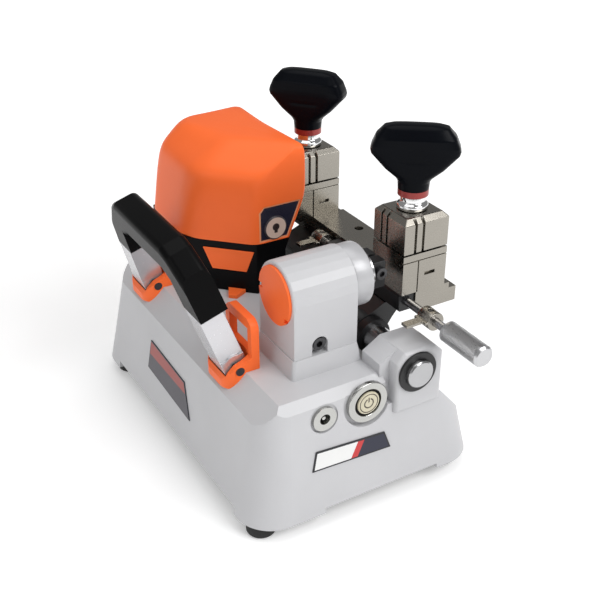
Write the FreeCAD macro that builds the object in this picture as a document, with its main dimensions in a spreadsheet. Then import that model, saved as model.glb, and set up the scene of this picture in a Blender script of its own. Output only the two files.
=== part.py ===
import FreeCAD, Part
import Sketcher
import math
import os

# Compact key duplicating machine: casing with a fixed tracer block and a hooded
# cutter, a sliding and swinging carriage with two vices, and a folding handle.
# Millimetres, +Z up. Build frame: +X from the tracer end to the cutter end,
# -Y the operator side, +Y the handle side, Z = 0 the floor under the feet.

os.makedirs("parts", exist_ok=True)
doc = FreeCAD.newDocument("key_duplicator")
V = FreeCAD.Vector
ROT = FreeCAD.Rotation

CELLS = [
    ("frame_dx", 12.5, "shift that puts the origin under the middle of the object"),
    ("frame_dy", -0.6575, "same, across"),
    ("case_half_len", 107, "casing half length at its foot"),
    ("case_half_wid", 71.5, "casing half width at its foot"),
    ("case_top_half_len", 96.85, "casing half length at the draft height"),
    ("case_top_half_wid", 57, "casing half width at the draft height"),
    ("case_far", 6, "extra length of the foot at the cutter end"),
    ("case_flare", 5, "extra width of the foot on the operator's side"),
    ("case_bottom", 8.5, "underside of the casing corners"),
    ("case_draft_top", 90, "height where the drafted walls are measured"),
    ("case_corner", 14, "radius of the upright casing corners at the draft height"),
    ("case_corner_foot", 22, "same at the foot"),
    ("deck_z", 78.5, "deck of the casing"),
    ("wall", 3, "casing wall"),
    ("valley_z", 60, "low deck under the carriage"),
    ("foot_x", 92, "foot pitch half length"),
    ("foot_y", 60, "foot pitch half width"),
    ("foot_r", 8.25, "foot radius"),
    ("foot_bore", 4, "recess for the foot screw"),
    ("screw_r", 1.6, "small screw shank radius"),
    ("vice_x", -57.5, "axis of the front vice, also of the tracer"),
    ("vice_pitch", 110, "distance between the vices, tracer to cutter"),
    ("vice_y", -55, "vice axis across"),
    ("jaw", 29, "side of the square jaws"),
    ("jaw_low", 105.5, "seat of the lower jaw"),
    ("jaw_split", 129, "top of the lower jaw"),
    ("jaw_gap", 0.9, "gap between closed jaws"),
    ("jaw_top", 150, "top of the upper jaw"),
    ("stud_r", 5, "clamp stud radius"),
    ("run", 0.05, "radial clearance of a running fit"),
    ("knob_collar_z", 150.35, "underside of the bright collar"),
    ("knob_ring_z", 158, "underside of the red ring"),
    ("knob_z", 161.5, "underside of the wing knob"),
    ("tracer_z", 119.5, "tracer axis height"),
    ("block_half", 18.5, "tracer block half width and crown radius"),
    ("block_z", 88.5, "seat of the tracer block"),
    ("block_y0", -9, "tracer block, operator end"),
    ("block_y1", 29.7, "tracer block, handle end"),
    ("cap_r", 16.3, "tracer cap radius"),
    ("quill_r", 10, "tracer quill radius"),
    ("ring_r", 17.6, "tracer adjusting ring radius"),
    ("shaft_y", -29, "carriage shaft across"),
    ("shaft_z", 79, "carriage shaft height"),
    ("shaft_r", 8, "carriage shaft radius"),
    ("hub_r", 11, "carriage hub radius"),
    ("spindle_y", -3, "cutter spindle across"),
    ("spindle_z", 119.5, "cutter spindle height"),
    ("spindle_r", 3, "cutter spindle radius"),
    ("motor_r", 14, "motor can radius"),
    ("gauge_y", -44.2, "gauge rod across"),
    ("gauge_z", 101.5, "gauge rod height"),
    ("gauge_r", 2.4, "gauge rod radius"),
    ("switch_y", -0.6, "power switch across"),
    ("switch_z", 67, "power switch height"),
    ("jack_y", 25.8, "charging socket across"),
    ("jack_z", 65.8, "charging socket height"),
    ("lamp_btn_y", -9, "lamp button across"),
    ("lamp_btn_z", 120, "lamp button height"),
    ("grip_y", 52.5, "handle pivot across"),
    ("grip_z", 80, "handle pivot height"),
    ("grip_x_front", -44, "front handle leg at the pivot"),
    ("grip_x_rear", 64, "rear handle leg at the pivot"),
    ("grip_lean", 17.6, "outward lean of the handle at rest, degrees"),
    ("leg_half_y", 7, "handle leg half depth"),
    ("pin_r", 2.5, "handle pin radius"),
]

sheet = doc.addObject("Spreadsheet::Sheet", "Sheet")
for i, (alias, number, note) in enumerate(CELLS, 1):
    sheet.set("A%d" % i, alias)
    sheet.set("B%d" % i, str(number))
    sheet.set("C%d" % i, note)
    sheet.setAlias("B%d" % i, alias)
doc.recompute()


class Q:
    """A number together with the cell expression it came from."""

    def __init__(self, v, e):
        self.v = float(v)
        self.e = e

    def _mix(self, other, op, flip=False):
        a, b = (q(other), self) if flip else (self, q(other))
        v = {"+": a.v + b.v, "-": a.v - b.v, "*": a.v * b.v}[op]
        return Q(v, "(%s %s %s)" % (a.e, op, b.e))

    def __add__(self, o): return self._mix(o, "+")
    def __radd__(self, o): return self._mix(o, "+", True)
    def __sub__(self, o): return self._mix(o, "-")
    def __rsub__(self, o): return self._mix(o, "-", True)
    def __mul__(self, o): return self._mix(o, "*")
    def __rmul__(self, o): return self._mix(o, "*", True)
    def __neg__(self): return Q(-self.v, "(-1 * %s)" % self.e)


def q(x):
    return x if isinstance(x, Q) else Q(x, "%.6f" % x)


def num(x):
    return x.v if isinstance(x, Q) else float(x)


class Dims:
    pass


c = Dims()
for alias, number, note in CELLS:
    setattr(c, alias, Q(number, "Sheet." + alias))


def put(o, prop, x):
    setattr(o, prop, num(x))
    if isinstance(x, Q):
        o.setExpression(prop, x.e)


def place(o, x, y, z, rot=None):
    o.Placement = FreeCAD.Placement(V(num(x), num(y), num(z)), rot or ROT())
    for prop, p in (("Placement.Base.x", x), ("Placement.Base.y", y), ("Placement.Base.z", z)):
        if isinstance(p, Q):
            o.setExpression(prop, p.e)


def box(x0, x1, y0, y1, z0, z1, name="Block"):
    o = doc.addObject("Part::Box", name)
    put(o, "Length", x1 - x0)
    put(o, "Width", y1 - y0)
    put(o, "Height", z1 - z0)
    place(o, x0, y0, z0)
    return o


TURN = {"X": ROT(V(0, 1, 0), 90), "Y": ROT(V(1, 0, 0), -90), "Z": ROT()}


def spot(o, axis, a0, u, v):
    if axis == "X":
        place(o, a0, u, v, TURN["X"])
    elif axis == "Y":
        place(o, u, a0, v, TURN["Y"])
    else:
        place(o, u, v, a0)
    return o


def cyl(axis, a0, a1, u, v, r, name="Round"):
    o = doc.addObject("Part::Cylinder", name)
    put(o, "Radius", r)
    put(o, "Height", a1 - a0)
    return spot(o, axis, a0, u, v)


def cone(axis, a0, a1, u, v, r0, r1, name="Taper"):
    o = doc.addObject("Part::Cone", name)
    put(o, "Radius1", r0)
    put(o, "Radius2", r1)
    put(o, "Height", a1 - a0)
    return spot(o, axis, a0, u, v)


def ngon(axis, a0, a1, u, v, r, sides=6, name="Hex"):
    o = doc.addObject("Part::Prism", name)
    o.Polygon = sides
    put(o, "Circumradius", r)
    put(o, "Height", a1 - a0)
    return spot(o, axis, a0, u, v)


def fuse(*parts):
    o = doc.addObject("Part::MultiFuse", "Union")
    o.Shapes = list(parts)
    o.Refine = True
    return o


def group(*parts):
    o = doc.addObject("Part::Compound", "Group")
    o.Links = list(parts)
    return o


def cut(base, *tools):
    o = doc.addObject("Part::Cut", "Cut")
    o.Base = base
    o.Tool = tools[0] if len(tools) == 1 else fuse(*tools)
    o.Refine = True
    return o


def common(a, b):
    o = doc.addObject("Part::MultiCommon", "Common")
    o.Shapes = [a, b]
    o.Refine = True
    return o


def draw(sk, pts, bound=True):
    """A closed outline, each corner dimensioned from the sketch origin."""
    n = len(pts)
    p = [V(num(u), num(v), 0) for u, v in pts]
    for i in range(n):
        sk.addGeometry(Part.LineSegment(p[i], p[(i + 1) % n]), False)
    for i in range(n):
        sk.addConstraint(Sketcher.Constraint("Coincident", i, 2, (i + 1) % n, 1))
    if not bound:
        return
    for i, (u, v) in enumerate(pts):
        for kind, d, zero_axis in (("DistanceX", u, -2), ("DistanceY", v, -1)):
            x = num(d)
            if abs(x) < 1e-9:
                sk.addConstraint(Sketcher.Constraint("PointOnObject", i, 1, zero_axis))
                continue
            if x > 0:
                k = sk.addConstraint(Sketcher.Constraint(kind, -1, 1, i, 1, x))
                e = d
            else:
                k = sk.addConstraint(Sketcher.Constraint(kind, i, 1, -1, 1, -x))
                e = -d
            if isinstance(e, Q):
                sk.setExpression("Constraints[%d]" % k, e.e)


PLANES = {"XY": "XY_Plane", "XZ": "XZ_Plane", "YZ": "YZ_Plane"}


def on_plane(body, plane, height, name="Sketch"):
    sk = body.newObject("Sketcher::SketchObject", name)
    for f in body.Origin.OriginFeatures:
        if f.Role == PLANES[plane]:
            sk.AttachmentSupport = [(f, "")]
    sk.MapMode = "FlatFace"
    h = -height if plane == "XZ" else height
    sk.AttachmentOffset = FreeCAD.Placement(V(0, 0, num(h)), ROT())
    if isinstance(h, Q):
        sk.setExpression("AttachmentOffset.Base.z", h.e)
    return sk


def prism(plane, pts, lo, hi, name="Plate", bound=True):
    """A body padded from an outline; lo and hi are along the plane's axis."""
    body = doc.addObject("PartDesign::Body", name)
    sk = on_plane(body, plane, hi if plane == "XZ" else lo)
    draw(sk, pts, bound)
    pad = body.newObject("PartDesign::Pad", "Pad")
    pad.Profile = sk
    put(pad, "Length", hi - lo)
    body.Tip = pad
    return body


def ring_of(axis, a0, a1, u, v, r_out, r_in, name="Ring"):
    return cut(cyl(axis, a0, a1, u, v, r_out), cyl(axis, a0 - 1, a1 + 1, u, v, r_in))


def flat_sketch(pts, z):
    sk = doc.addObject("Sketcher::SketchObject", "Section")
    draw(sk, pts)
    sk.Placement = FreeCAD.Placement(V(0, 0, num(z)), ROT())
    if isinstance(z, Q):
        sk.setExpression("Placement.Base.z", z.e)
    return sk


def loft(sections, ruled=True):
    o = doc.addObject("Part::Loft", "Loft")
    o.Sections = sections
    o.Solid = True
    o.Ruled = ruled
    return o


def rect(x0, x1, y0, y1):
    return [(x0, y0), (x1, y0), (x1, y1), (x0, y1)]


def round_edges(base, pick, r, kind="Part::Fillet", r_foot=None):
    """Round (or bevel) the straight edges whose two ends satisfy pick."""
    doc.recompute()
    chosen = []
    for i, e in enumerate(base.Shape.Edges, 1):
        a, b = e.Vertexes[0].Point, e.Vertexes[-1].Point
        if pick(a, b):
            foot = num(r) if r_foot is None else num(r_foot)
            chosen.append((i, foot, num(r)) if a.z < b.z else (i, num(r), foot))
    if not chosen:
        print("no edge picked for", base.Name)
        return base
    o = doc.addObject(kind, "Rounded")
    o.Base = base
    o.Edges = chosen
    doc.recompute()
    if o.Shape.isNull() or not o.Shape.isValid() or "Invalid" in o.State:
        print("rounding left out on", base.Name, len(chosen))
        doc.removeObject(o.Name)
        return base
    return o


def near(x, y, tol=0.02):
    return abs(x - y) < tol


NODES = []


def node(label, o, rot=None, base=None):
    """Name a finished piece and set it into the shared frame."""
    if o.TypeId in ("Part::Box", "Part::Cylinder", "Part::Cone", "Part::Prism"):
        o = group(o)
    o.Label = label
    if base is None:
        place(o, c.frame_dx, c.frame_dy, 0)
    else:
        place(o, c.frame_dx + base[0], c.frame_dy + base[1], base[2], rot)
    NODES.append((label, o))
    return o


BR = [(41, 69.5), (60.8, 69.5), (60.8, 74), (58.4, 78.5), (54.5, 82.3), (49.5, 84.2), (45.6, 86.5), (45.6, 108), (41, 108)]


def bracket_block(x):
    """The outside of a handle bracket, let into the casing edge."""
    b = prism("YZ", BR, x - 14.8, x + 14.8, "Bracket")
    b = round_edges(b, lambda p, s: near(p.y, 60.8) and near(s.y, 60.8) and near(p.x, s.x), 9)
    return round_edges(b, lambda p, s: near(p.z, 108) and near(s.z, 108) and near(p.x, s.x), 6)


# ---------------------------------------------------------------- base casing
hl, hw = c.case_half_len, c.case_half_wid
tl, tw = c.case_top_half_len, c.case_top_half_wid
far, flare = c.case_far, c.case_flare
outer = loft([flat_sketch(rect(-hl, hl + far, -hw - flare, hw), c.case_bottom),
              flat_sketch(rect(-tl, tl, -tw, tw), c.case_draft_top)])
outer = round_edges(outer, lambda a, b: abs(a.z - b.z) > 50, c.case_corner, r_foot=c.case_corner_foot)
side_profile = prism("YZ", [(-90, 0), (90, 0), (90, 37.8), (127.8 - c.deck_z, c.deck_z), (-13, c.deck_z),
                            (-13, c.valley_z + 1), (-48, c.valley_z - 1.5), (-66, 38), (-90, 10.7)],
                     -130, 130, "SideProfile")
end_profile = prism("XZ", [(-130, 0), (130, 0), (130, 42.5), (172.5 - c.deck_z, c.deck_z), (c.deck_z - 172.5, c.deck_z), (-130, 42.5)],
                    -100, 100, "EndProfile")
outer = common(common(outer, side_profile), end_profile)

w = c.wall
inner = loft([flat_sketch(rect(-hl + w + 0.8, hl + far - w - 0.8, -hw - flare + w + 0.8, hw - w - 0.8), -0.1),
              flat_sketch(rect(-tl + w, tl - w, -tw + w, tw - w), c.case_draft_top)])
inner = round_edges(inner, lambda a, b: abs(a.z - b.z) > 50, c.case_corner - w, r_foot=c.case_corner_foot - w)
in_side = prism("YZ", [(-90, -5), (90, -5), (90, 33.6), (126.6 - c.deck_z, c.deck_z - w), (-16, c.deck_z - w),
                       (-16, c.valley_z - 2), (-46.6, c.valley_z - 4.6), (-64, 35.6), (-90, 6.1)],
                -130, 130, "InnerSide")
in_end = prism("XZ", [(-130, -5), (130, -5), (130, 38.3), (171.3 - c.deck_z, c.deck_z - w), (c.deck_z - 171.3, c.deck_z - w), (-130, 38.3)],
               -100, 100, "InnerEnd")
inner = common(common(inner, in_side), in_end)

posts = [cyl("Z", c.case_bottom + 2, 40, sx * c.foot_x, sy * c.foot_y, 5.5) for sx in (-1, 1) for sy in (-1, 1)]
posts = [common(p, outer) for p in posts]
boss_pts = [(-46.5, 55), (-16.8, 55), (-16.8, 86), (-21.5, 91.5), (-41, 91.5), (-46.5, 86)]
boss_f = prism("YZ", boss_pts, -104, -88, "BossFront")
boss_r = prism("YZ", boss_pts, 88, 104, "BossRear")
shoulder = prism("YZ", [(-46.5, 55), (-10.5, 55), (-10.5, 84.5), (-21.5, 91.2), (-41, 91.2), (-46.5, 86)], -96, -79.5, "Shoulder")
boss_f = round_edges(boss_f, lambda a, b: near(a.x, -104) and near(b.x, -104), 2.5)
boss_r = round_edges(boss_r, lambda a, b: near(a.x, 104) and near(b.x, 104), 2.5)
plinth = loft([flat_sketch(rect(-80, -35.5, -11.5, 33.2), c.deck_z - 2),
               flat_sketch(rect(-76.6, -38.4, -9.6, 30.3), c.block_z)])
plinth = round_edges(plinth, lambda a, b: abs(a.z - b.z) > 5, 2)
pads = [cyl("X", -99.5, -93, c.switch_y, c.switch_z, 14.5), cyl("X", -99.5, -94, c.jack_y, c.jack_z, 11)]
pads = [common(p, outer) for p in pads]
shell = fuse(cut(outer, inner), boss_f, boss_r, shoulder, plinth, *(posts + pads))
gaps = [box(-115, -90, -46, 28, 0, c.case_bottom + 3), box(90, 120, -46, 28, 0, c.case_bottom + 3),
        cyl("X", -112, -98.4, c.switch_y, c.switch_z, 14.6), cyl("X", -112, -90, c.switch_y, c.switch_z, 8),
        cyl("X", -112, -98.7, c.jack_y, c.jack_z, 8.4), cyl("X", -112, -90, c.jack_y, c.jack_z, 5.5),
        cyl("X", -110, -79, c.shaft_y, c.shaft_z, 10.5), cyl("X", 80, 110, c.shaft_y, c.shaft_z, 10.5)]
gaps += [box(-82, 82, sy * 72 - 10, sy * 72 + 10, 0, c.case_bottom + 4.5) for sy in (-1, 1)]
gaps += [cyl("Z", 5, 22, sx * c.foot_x, sy * c.foot_y, c.screw_r) for sx in (-1, 1) for sy in (-1, 1)]
gaps += [cyl("Z", 68, 95, c.vice_x, y, 3) for y in (0, 20)]
gaps += [cyl("Z", 70, 95, x, y, c.screw_r) for x, y in ((20, -8), (88, -8), (88, 26), (50, 26))]
gaps += [bracket_block(x) for x in (c.grip_x_front, c.grip_x_rear)]
node("base_casing", cut(shell, *gaps))

# ------------------------------------------------- bottom plate, feet, screws
plate = box(-hl + 5, hl + far - 6.4, -hw - flare + 7, hw - 5.4, c.case_bottom, c.case_bottom + 2)
plate = round_edges(plate, lambda a, b: abs(a.z - b.z) > 1, 20)
stand = [cyl("Z", c.case_bottom + 2, 14, x, y, 3) for x in (-50, 0) for y in (-10, 30)]
holes = [cyl("Z", 0, 20, sx * c.foot_x, sy * c.foot_y, c.screw_r) for sx in (-1, 1) for sy in (-1, 1)]
node("bottom_plate", cut(fuse(plate, *stand), *holes))
feet, screws = [], []
for sx in (-1, 1):
    for sy in (-1, 1):
        x, y = sx * c.foot_x, sy * c.foot_y
        f = fuse(cone("Z", 0, 1.2, x, y, c.foot_r - 1, c.foot_r), cyl("Z", 1.2, c.case_bottom, x, y, c.foot_r))
        feet.append(cut(f, cyl("Z", -1, 3, x, y, c.foot_bore), cyl("Z", -1, 10, x, y, c.screw_r)))
        s = fuse(cyl("Z", 1, 3, x, y, 3.4), cyl("Z", 3, 20, x, y, c.screw_r))
        screws.append(cut(s, ngon("Z", 0, 1.9, x, y, 1.6)))
node("rubber_feet", group(*feet))
node("foot_screws", group(*screws))

# ------------------------------------------------------------- tracer block
vx, bh, tz = c.vice_x, c.block_half, c.tracer_z
crown = [(vx + bh.v * math.sin(math.radians(a)), tz + bh.v * math.cos(math.radians(a)))
         for a in (75, 60, 45, 30, 16, 0, -16, -30, -45, -60, -75)]
block = prism("XZ", [(vx - bh, c.block_z), (vx + bh, c.block_z), (vx + bh, tz)] + crown + [(vx - bh, tz)],
              c.block_y0, c.block_y1, "TracerBlock")
block = round_edges(block, lambda a, b: near(a.y, b.y) and a.z > 100 and b.z > 100 and near(a.y, num(c.block_y1)), 1.2)
block_cuts = [cyl("Y", c.block_y0 - 1, 26, vx, tz, c.quill_r + c.run),
              cyl("Y", 27.7, 40, vx, tz, c.cap_r),
              cyl("X", vx - bh - 1, vx - bh + 4.5, 14.1, 94.2, 4.8), box(vx - bh - 1, vx - bh + 4.5, 9.3, 18.9, 80, 94.2),
              cyl("X", vx - bh, vx - bh + 14, 14.1, 94.2, 2.5)]
block_cuts += [cyl("Z", 80, 98, vx, y, 3) for y in (0, 20)]
node("tracer_block", cut(block, *block_cuts))
cap = cyl("Y", 27.7, 31.2, vx, tz, c.cap_r - 0.06)
cap = cut(cap, box(vx + 13, vx + 18, 29.5, 33, tz - 1.5, tz + 1.5), box(vx - 14.8, vx - 10.6, 29.5, 33, tz - 10.8, tz - 8.2))
node("tracer_cap", cap)
roof = c.deck_z - c.wall
bolts = []
for y in (0, 20):
    bolts.append(cut(fuse(cyl("Z", roof - 6, roof, vx, y, 5), cyl("Z", roof, 98, vx, y, 2.94)), ngon("Z", roof - 7, roof - 3, vx, y, 2.9)))
side = fuse(cyl("X", vx - bh + 0.5, vx - bh + 4.5, 14.1, 94.2, 3.7), cyl("X", vx - bh + 4.5, vx - bh + 14, 14.1, 94.2, 2.44))
bolts.append(cut(side, ngon("X", vx - bh - 1, vx - bh + 2.8, 14.1, 94.2, 2)))
node("tracer_block_bolts", group(*bolts))

# ---------------------------------------------------- tracer ring and quill
tring = ring_of("Y", -20.4, -9.3, vx, tz, c.ring_r, c.quill_r + c.run)
tring = round_edges(tring, lambda a, b: near(a.y, -20.4) and near(b.y, -20.4), 0.8, "Part::Chamfer")
node("tracer_ring", tring)
quill = fuse(cyl("Y", -21.8, 24, vx, tz, c.quill_r), cyl("Y", -25, -21.8, vx, tz, 10.8))
node("tracer_quill", quill)
clamp = cut(box(vx - 9, vx + 9, -32.8, -25, tz - 8, tz + 8), box(vx - 1.2, vx + 1.2, -40, -25, tz - 7, tz + 12),
            cyl("X", vx - 12, vx - 1, -28.9, tz + 1.5, 2.2))
node("tracer_clamp", clamp)
point = prism("YZ", [(-25, tz - 7), (-25, tz + 6), (-31, tz + 6), (-34, tz + 1.2), (-34, tz - 1.2), (-31, tz - 7)],
              vx - 1.2, vx + 1.2, "TracerPoint")
node("tracer_point", point)
ts = fuse(cyl("X", vx - 11.4, vx - 9, -28.9, tz + 1.5, 3.4), cyl("X", vx - 9, vx - 1.2, -28.9, tz + 1.5, 2.14))
node("tracer_screw", cut(ts, ngon("X", vx - 12, vx - 9.8, -28.9, tz + 1.5, 1.8)))

# ------------------------------------------------------- carriage shaft
sy_, sz_ = c.shaft_y, c.shaft_z
shaft = fuse(cyl("X", -107.7, 105.2, sy_, sz_, c.shaft_r), cone("X", -108.5, -107.7, sy_, sz_, c.shaft_r - 0.8, c.shaft_r),
             cone("X", 105.2, 106, sy_, sz_, c.shaft_r, c.shaft_r - 0.8))
node("carriage_shaft", shaft)
bf = fuse(cyl("X", -105.6, -104, sy_, sz_, 11.9), cyl("X", -104, -88, sy_, sz_, 10.5))
br = fuse(cyl("X", 104, 105.6, sy_, sz_, 11.9), cyl("X", 88, 104, sy_, sz_, 10.5))
node("shaft_bushes", group(cut(bf, cyl("X", -110, -80, sy_, sz_, c.shaft_r + c.run)),
                           cut(br, cyl("X", 80, 110, sy_, sz_, c.shaft_r + c.run))))
node("shaft_collars", group(ring_of("X", -64, -58.4, sy_, sz_, 10.6, c.shaft_r), ring_of("X", 55.4, 61, sy_, sz_, 10.6, c.shaft_r)))

# ------------------------------------------------------------ carriage
arm = fuse(cyl("X", -58, 55, sy_, sz_, c.hub_r),
           prism("YZ", [(-36, 71), (-25, 88), (-39.5, 95), (-50, 95), (-50, 90), (-45, 84)], -58, 6, "WebFront"),
           prism("YZ", [(-36, 70.5), (-25, 87.5), (-38, 89.5), (-50.5, 94.5), (-50.5, 100), (-71, 100), (-71, 95), (-56, 95), (-47, 86)], 6.5, 55, "WebRear"),
           prism("YZ", [(-36, 71), (-25, 88), (-39, 94), (-46, 88)], 0, 10, "WebLink"))
node("carriage_arm", cut(arm, cyl("X", -60, 60, sy_, sz_, c.shaft_r + c.run), *[cyl("Z", 90, 105, x, -63, 2) for x in (14, 32)]))
bar = box(-71, 6, -50, -39.5, 95, c.jaw_low)
bar = round_edges(bar, lambda a, b: near(a.y, -39.5) and near(b.y, -39.5) and abs(a.x - b.x) > 20, 1, "Part::Chamfer")
node("carriage_bar", cut(bar, cyl("X", -80, 20, c.gauge_y, c.gauge_z, c.gauge_r + c.run)))
xf0, xf1 = vx - 0.5 * c.jaw, vx + 0.5 * c.jaw
xr0, xr1 = vx + c.vice_pitch - 0.5 * c.jaw, vx + c.vice_pitch + 0.5 * c.jaw
yj0, yj1 = c.vice_y - 0.5 * c.jaw, c.vice_y + 0.5 * c.jaw
cplate = cut(box(xf1, xr0, -74, -50, 100, 107), cyl("Z", 90, 110, 9, -66, 2.8), box(-24, -22.6, -60, -49, 99, 108),
             box(-12, -4, -53, -49, 99, 108), *[cyl("Z", 90, 105, x, -63, 2) for x in (14, 32)])
cplate = round_edges(cplate, lambda a, b: near(a.z, 107) and near(b.z, 107) and near(a.y, -74) and near(b.y, -74), 1, "Part::Chamfer")
node("carriage_plate", cplate)
ps = [cut(fuse(cyl("Z", 92.4, 95, x, -63, 3.6), cyl("Z", 95, 105, x, -63, 2)), ngon("Z", 91, 93.6, x, -63, 1.8)) for x in (14, 32)]
node("plate_screws", group(*ps))


def lower_jaw(x0, x1, rear):
    xm = 0.5 * (x0 + x1)
    body = fuse(box(x0, x1, yj0, yj1, c.jaw_low, c.jaw_split), box(x0, x1, -73, -44 if rear else -50, 100, c.jaw_low))
    if not rear:
        body = fuse(body, box(x0, x1, -78, -50, 93, 102))
    grooves = [box(x0 - 1, x0 + 2.2, -62, -55, c.jaw_split - 14.2, c.jaw_split - 12.2),
               box(x0 - 1, x0 + 0.8, yj0 - 1, yj1 + 1, c.jaw_split - 4.4, c.jaw_split - 3.8),
               box(x0 - 1, x0 + 1, -51, -50.2, c.jaw_low, c.jaw_split - 4),
               cyl("Z", 90, 140, xm, c.vice_y, c.stud_r)]
    return cut(body, *grooves)


def upper_jaw(x0, x1):
    xm = 0.5 * (x0 + x1)
    b = box(x0, x1, yj0, yj1, c.jaw_split + c.jaw_gap, c.jaw_top)
    b = round_edges(b, lambda p, s: near(p.z, num(c.jaw_top)) and near(s.z, num(c.jaw_top)), 3, "Part::Chamfer")
    z0 = c.jaw_split
    slits = []
    for off in (6.5, 11.5):
        slits.append(box(x0 - 1, x0 + 2.4, yj1 - off - 1.5, yj1 - off, z0 - 1, 160))
        slits.append(box(x1 - 2.4, x1 + 1, yj0 + off, yj0 + off + 1.5, z0 - 1, 160))
        slits.append(box(x1 - off - 1.5, x1 - off, yj1 - 2.4, yj1 + 1, z0 - 1, 160))
        slits.append(box(x0 + off, x0 + off + 1.5, yj0 - 1, yj0 + 2.4, z0 - 1, 160))
    slits.append(cyl("Z", 120, 160, xm, c.vice_y, c.stud_r + c.run))
    return cut(b, *slits)


node("front_lower_jaw", lower_jaw(xf0, xf1, False))
node("rear_lower_jaw", lower_jaw(xr0, xr1, True))
node("front_upper_jaw", upper_jaw(xf0, xf1))
node("rear_upper_jaw", upper_jaw(xr0, xr1))
vxr = vx + c.vice_pitch
node("clamp_studs", group(cyl("Z", 93, 176, vx, c.vice_y, c.stud_r), cyl("Z", 100, 176, vxr, c.vice_y, c.stud_r)))


def wing(x, turn, label):
    secs = []
    for z, a, b in ((161.5, 8.4, 8.3), (165, 9, 8.4), (169.6, 12.4, 8.6), (174.8, 18.3, 9), (180, 23.2, 9.3), (184.8, 24.2, 9.1),
                    (189.7, 23, 8.3), (194, 19.4, 6.7), (197.2, 13, 4.3)):
        e = doc.addObject("Part::Ellipse", "Rib")
        e.MajorRadius = a
        e.MinorRadius = b
        e.Placement = FreeCAD.Placement(V(0, 0, z), ROT())
        secs.append(e)
    k = loft(secs, False)
    k = cut(k, cyl("Z", 150, 177, 0, 0, c.stud_r + c.run))
    node(label, k, ROT(V(0, 0, 1), turn), (x, c.vice_y, 0))


for tag, x, turn in (("front", vx, 53.0), ("rear", vxr, 39.0)):
    col = fuse(cyl("Z", c.knob_collar_z, c.knob_collar_z + 2.6, x, c.vice_y, 8.6),
               cone("Z", c.knob_collar_z + 2.6, c.knob_collar_z + 4.2, x, c.vice_y, 8.6, 6.8),
               cyl("Z", c.knob_collar_z + 4.2, c.knob_ring_z, x, c.vice_y, 6.8))
    node(tag + "_knob_collar", cut(col, cyl("Z", 140, 165, x, c.vice_y, c.stud_r + c.run)))
    node(tag + "_knob_ring", ring_of("Z", c.knob_ring_z, c.knob_z, x, c.vice_y, 8.4, c.stud_r + c.run))
    wing(x, turn, tag + "_wing_knob")

# --------------------------------------------------------------- key gauge
gy, gz, gr = c.gauge_y, c.gauge_z, c.gauge_r
node("gauge_rod", cyl("X", -112, 22, gy, gz, gr))
fingers, sets = [], []
for x in (-93.2, -93.2 + num(c.vice_pitch)):
    f = fuse(cyl("X", x - 5, x + 5, gy, gz, 5.2), box(x - 2.6, x + 2.6, gy, -27, gz - 0.2, gz + 1.3),
             box(x - 5, x + 5, gy, gy + 7, gz - 0.2, gz + 1.3))
    f = cut(f, cyl("X", x - 9, x + 9, gy, gz, gr), cyl("Z", gz, gz + 9, x, gy, 1.5))
    fingers.append(f)
    sets.append(cyl("Z", gz + gr, gz + 4.4, x, gy, 1.5))
node("gauge_fingers", group(*fingers))
node("gauge_screws", group(*sets))
gk = fuse(cyl("X", -136.8, -109, gy, gz, 6), cone("X", -138, -136.8, gy, gz, 5, 6), cone("X", -109, -107.5, gy, gz, 6, 4.6))
node("gauge_knob", cut(gk, cyl("X", -112, -100, gy, gz, gr)))

# ------------------------------------------------- motor housing and hood
PL = [(12.6, -16), (12.6, 3.6), (44, 35), (97, 33.2), (97, -16)]
PI = [(15.1, -13.5), (15.1, 2.6), (45, 32.4), (94.5, 30.7), (94.5, -13.5)]
housing = fuse(prism("XY", PL, c.deck_z, 111.4, "Lower"),
               loft([flat_sketch(PL, 104),
                     flat_sketch([(12.6, -19), (12.6, 3.6), (44, 35), (97, 33.2), (97, -19)], 111.4)]))
hollow = fuse(prism("XY", PI, c.deck_z + 3, 120, "LowerHollow"),
              loft([flat_sketch(PI, 104), flat_sketch([(15.1, -16.8)] + PI[1:4] + [(94.5, -16.8)], 112)]))
window = box(38, 68, -45, -9, 87, 141)
node("motor_housing", cut(housing, hollow, window,
                          *[cyl("Z", 70, 90, x, y, c.screw_r) for x, y in ((20, -8), (88, -8), (88, 26), (50, 26))]))
hs = [cut(fuse(cyl("Z", roof - 2.3, roof, x, y, 3.2), cyl("Z", roof, c.deck_z + 3, x, y, c.screw_r - 0.06)), ngon("Z", roof - 3, roof - 1.1, x, y, 1.5))
      for x, y in ((20, -8), (88, -8), (88, 26), (50, 26))]
node("housing_screws", group(*hs))
S = [([(12.4, -19.2), (12.4, 4), (44, 35.6), (97.4, 33.6), (97.4, -19.2)], 111.4),
     ([(12.2, -30), (12.2, 2), (41.5, 31), (97.4, 29.2), (97.4, -30)], 137),
     ([(12.4, -30), (12.6, 0), (40, 27.5), (96.8, 27), (97, -30)], 152),
     ([(13, -29), (14.4, -27.2), (44, 3), (91, 19), (95.5, -29)], 165)]
SI = [([(14.9, -16.7), (14.9, 3), (45, 33), (94.9, 31), (94.9, -16.7)], 111.3),
      ([(14.7, -27.5), (14.7, 1), (42.5, 28.3), (94.9, 26.6), (94.9, -27.5)], 137),
      ([(15, -27.4), (15.1, -1.2), (41, 24.6), (94.2, 24.4), (94.4, -27.4)], 150.5),
      ([(17, -26.5), (18.4, -25), (46.5, 2.5), (88.5, 16.5), (92.5, -26.5)], 162)]
hood = loft([flat_sketch(p, z) for p, z in S])
hood = round_edges(hood, lambda a, b: near(a.z, 165) and near(b.z, 165), 4)
hood_in = loft([flat_sketch(p, z) for p, z in SI])
PANEL = [(-27, 134.5), (-1.5, 134.5), (1.5, 131), (1.5, 112), (-17.6, 112)]
panel_hole = prism("YZ", PANEL, 5, 20, "PanelHole")
lamp_hole = cyl("Y", -40, -15, 32.5, 125, 4)
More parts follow.
